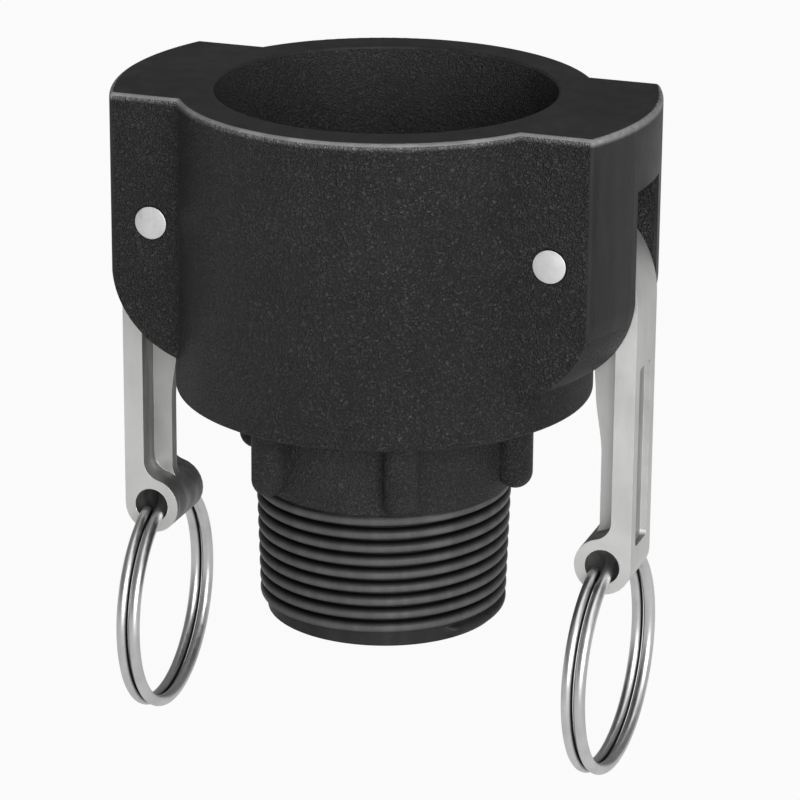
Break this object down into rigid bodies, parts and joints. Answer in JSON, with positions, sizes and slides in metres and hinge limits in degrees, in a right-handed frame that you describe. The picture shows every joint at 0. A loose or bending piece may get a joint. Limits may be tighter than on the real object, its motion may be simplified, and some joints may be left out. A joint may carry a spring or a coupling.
{
  "type": "cam and groove coupling",
  "caption": "Cam and groove coupling: a moulded socket that seals on a plain grooved adapter and is locked by cam levers, standing on a male taper-threaded spigot.",
  "frame": {"origin": "centre of the male spigot's end face, on the pipe axis", "axes": "+Z along the pipe axis out of the socket's mouth, X through the wings that carry the levers, Y along the lever pins"},
  "size_m": [0.0878, 0.0676, 0.1111],
  "materials": {
    "body_plastic": "glass-filled black moulding with a spark-eroded grain",
    "gasket_rubber": "soft black rubber",
    "lever_steel": "investment cast and tumbled to a satin grey",
    "pin_steel": "ground bright, ends cut flat",
    "ring_steel": "polished wire"
  },
  "bodies": {
    "coupler": {"coupler_body": "body_plastic", "seal_gasket": "gasket_rubber", "pivot_pin_left": "pin_steel", "pivot_pin_right": "pin_steel"},
    "lever_left": {"cam_lever_left": "lever_steel"},
    "lever_right": {"cam_lever_right": "lever_steel"},
    "ring_left": {"pull_ring_left": "ring_steel"},
    "ring_right": {"pull_ring_right": "ring_steel"}
  },
  "joints": [
    {"name": "lever_left_swing", "type": "hinge", "parent": "coupler", "child": "lever_left", "pos_m": [-0.0331, 0, 0.0669], "axis": [0, 1, 0], "range_deg": [0, 80]},
    {"name": "lever_right_swing", "type": "hinge", "parent": "coupler", "child": "lever_right", "pos_m": [0.0331, 0, 0.0669], "axis": [0, -1, 0], "range_deg": [0, 80]},
    {"name": "ring_left_swing", "type": "hinge", "parent": "lever_left", "child": "ring_left", "pos_m": [-0.0391, 0, 0.0136], "axis": [0, 1, 0], "range_deg": [-50, 90]},
    {"name": "ring_right_swing", "type": "hinge", "parent": "lever_right", "child": "ring_right", "pos_m": [0.0391, 0, 0.0136], "axis": [0, -1, 0], "range_deg": [-50, 90]}
  ]
}
